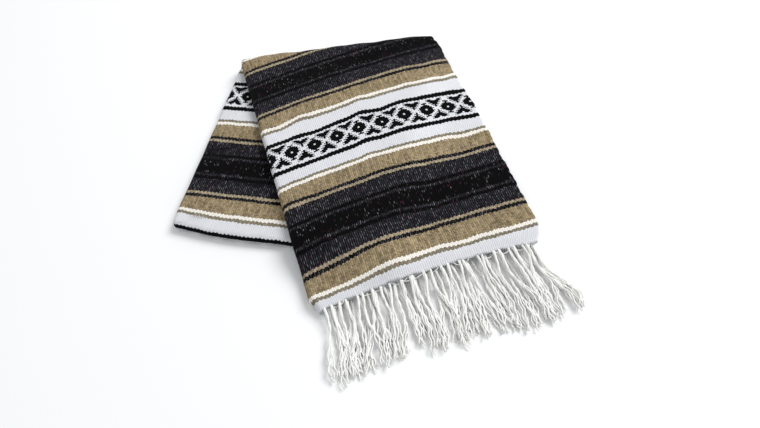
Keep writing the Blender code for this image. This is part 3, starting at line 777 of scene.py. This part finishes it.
def spin(name, yarns):
    """One mesh of round yarns, closed at both ends. Each yarn is its path and its radius along that."""
    sides = YARN_SIDES
    points, faces, places = [], [], []
    turns = np.arange(sides) / sides * 2 * math.pi
    for number, (path, radius) in enumerate(yarns):
        along = np.gradient(path, axis=0)
        along /= np.linalg.norm(along, axis=1, keepdims=True)
        side = np.cross(along, (0.0, 0.0, 1.0))
        side /= np.linalg.norm(side, axis=1, keepdims=True)
        up = np.cross(side, along)
        ring = side[:, None, :] * np.cos(turns)[:, None] + up[:, None, :] * np.sin(turns)[:, None]
        start = sum(len(p) for p in points)
        points.append((path[:, None, :] + ring * radius[:, None, None]).reshape(-1, 3))
        steps = np.linalg.norm(np.diff(path, axis=0), axis=1)
        reach = np.concatenate(([0.0], np.cumsum(steps))) + 0.31 * number
        for i in range(len(path) - 1):
            a, b = start + i * sides, start + (i + 1) * sides
            for j in range(sides):
                k = (j + 1) % sides
                faces.append((a + j, b + j, b + k, a + k))
                places += [(j / sides, reach[i]), (j / sides, reach[i + 1])]
                places += [((j + 1) / sides, reach[i + 1]), ((j + 1) / sides, reach[i])]
        end = start + (len(path) - 1) * sides
        faces.append(tuple(range(start, start + sides)))
        faces.append(tuple(range(end + sides - 1, end - 1, -1)))
        places += [(j / sides, reach[0]) for j in range(sides)]
        places += [(j / sides, reach[-1]) for j in range(sides - 1, -1, -1)]
    mesh = bpy.data.meshes.new(name)
    mesh.from_pydata(np.concatenate(points).tolist(), [], faces)
    mesh.uv_layers.new(name="yarn").data.foreach_set("uv", np.array(places, np.float32).ravel())
    mesh.shade_smooth()
    piece = bpy.data.objects.new(name, mesh)
    bpy.context.scene.collection.objects.link(piece)
    return piece


def strand(root, length, row, lean, lock, chance):
    """The yarns of one strand: their paths from the cloth's end to the tips.

    lean is how far it drifts sideways by itself, and lock how far it is drawn to the others of its lock.
    """
    yarns = []
    count = chance.integers(4, 6)
    twist, phase = chance.uniform(1.5, 3.0), chance.uniform(0, 2 * math.pi)
    wiggle, start = chance.uniform(0.0014, 0.0042), chance.uniform(0, 2 * math.pi)
    lift = chance.uniform(0.0, 0.0035)
    for number in range(count):
        own = length * chance.uniform(0.90, 1.02)
        s = np.linspace(-0.003, own, 34)
        t = np.clip(s / 0.110, 0, None)
        fray = smooth((s / own - 0.35) / 0.65)
        side = (0.022 * (root / STRIP - 0.60) + 0.003 * math.sin(root * 52 + 1.0) + lean) * smooth(t)
        side += lock * smooth(t * 1.1) + wiggle * np.sin(start + t * 7.0) * np.clip(t * 4, 0, 1)
        angle = phase + number / count * 2 * math.pi + twist * 2 * math.pi * t * (1 - 0.4 * t)
        spread = SPREAD + FRAYED * fray + 0.0004 * np.sin(start * 3 + t * 9)
        kink = np.sin(chance.uniform(0, 6) + t * chance.uniform(30, 44))
        kink = 0.0006 * kink * np.clip(t * 5, 0, 1)
        loose = chance.normal(0, 0.0017) * fray + kink * (1 + fray)
        inward = drawn_in(root, end_v(root)) * (1 - smooth(1.2 * t))
        u = root + inward + side + spread * np.cos(angle) + loose
        v = end_v(root) + s + 0.004 * chance.uniform(-1, 1) * fray
        fall = smooth(s / FALL)
        z = row["top"] * (1 - fall) + (row["rest"] + lift * np.sin(np.clip(t, 0, 1) * math.pi)) * fall
        z = np.maximum(z + spread * np.sin(angle) * (1 - 0.5 * fray), YARN)
        x, y = to_world(UPPER_LEG, u, v)
        thin = YARN * (1.05 - 0.12 * fray)
        thin[-1] *= 0.6
        yarns.append((np.stack((x, y, z), axis=1), thin))
    return yarns


warp_yarn = make_warp_yarn()
for row in ROWS:
    chance = np.random.default_rng(row["seed"])
    yarns, lock_left, lock_middle = [], 0, 0.0
    pull = chance.uniform(-0.1, 0.8, STRANDS)
    for number in range(STRANDS):
        root = 0.008 + STRAND_PITCH * (number + 0.2) + row["shift"] + chance.normal(0, 0.0013)
        root += STRAND_PITCH / 2 * pull[number // 2] * (1 if number % 2 == 0 else -1)
        root = min(max(root, 0.006), STRIP - 0.006)
        if lock_left == 0:
            lock_left = chance.integers(2, 5)
            lock_middle = root + STRAND_PITCH * (lock_left - 1) / 2 + chance.normal(0, 0.003)
        lock_left -= 1
        lock = (lock_middle - root) * chance.uniform(0.35, 0.75)
        length = np.interp(root, FRINGE_U, FRINGE_LONG) * chance.uniform(0.88, 1.0) - row["shorten"]
        yarns += strand(root, length, row, chance.normal(0, 0.0042), lock, chance)
    fringe = spin(row["node"] + "_yarns", yarns)
    fringe.data.materials.append(warp_yarn)
    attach(fringe, "root")
    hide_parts(row["node"])


# A few ends of weft have worked loose at the free end. They are soft pale yarn, caught in the cloth at both
# ends, and hang in short loops in front of the dark gap below it.
LOOSE_WEFTS = [  # u at each end, how far in front of the cloth, how far down, and turns of its wave
    {"from": 0.062, "to": 0.098, "out": 0.0030, "down": 0.0030, "waves": 1.5},
    {"from": 0.105, "to": 0.128, "out": 0.0024, "down": 0.0045, "waves": 1.0},
    {"from": 0.119, "to": 0.151, "out": 0.0042, "down": 0.0020, "waves": 2.0},
    {"from": 0.148, "to": 0.170, "out": 0.0028, "down": 0.0055, "waves": 1.0},
    {"from": 0.190, "to": 0.214, "out": 0.0035, "down": 0.0025, "waves": 1.5},
    {"from": 0.221, "to": 0.252, "out": 0.0040, "down": 0.0042, "waves": 2.0},
    {"from": 0.246, "to": 0.270, "out": 0.0052, "down": 0.0020, "waves": 1.0},
    {"from": 0.272, "to": 0.306, "out": 0.0045, "down": 0.0035, "waves": 2.5},
    {"from": 0.020, "to": 0.041, "out": 0.0024, "down": 0.0030, "waves": 1.0},
]
WEFT_TOP = 0.0128  # height at which they leave the cloth
WEFT = 0.00065  # radius of the yarn
wefts = []
for weft in LOOSE_WEFTS:
    t = np.linspace(0, 1, 28)
    swell = np.sin(t * math.pi)
    wave = np.sin(t * weft["waves"] * 2 * math.pi + weft["from"] * 90)
    sway = 0.0015 * np.cos(t * weft["waves"] * 2 * math.pi)
    u = weft["from"] + (weft["to"] - weft["from"]) * t + sway
    v = end_v(u) - 0.0015 + (weft["out"] + 0.0015) * swell**0.5 + 0.0009 * wave * swell
    z = WEFT_TOP - weft["down"] * swell + 0.0012 * wave * swell
    x, y = to_world(UPPER_LEG, u + drawn_in(u, v), v)
    wefts.append((np.stack((x, y, z), axis=1), np.full(len(t), WEFT)))
loose_wefts = spin("loose_weft_ends", wefts)
loose_wefts.data.materials.append(warp_yarn)
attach(loose_wefts, "root")
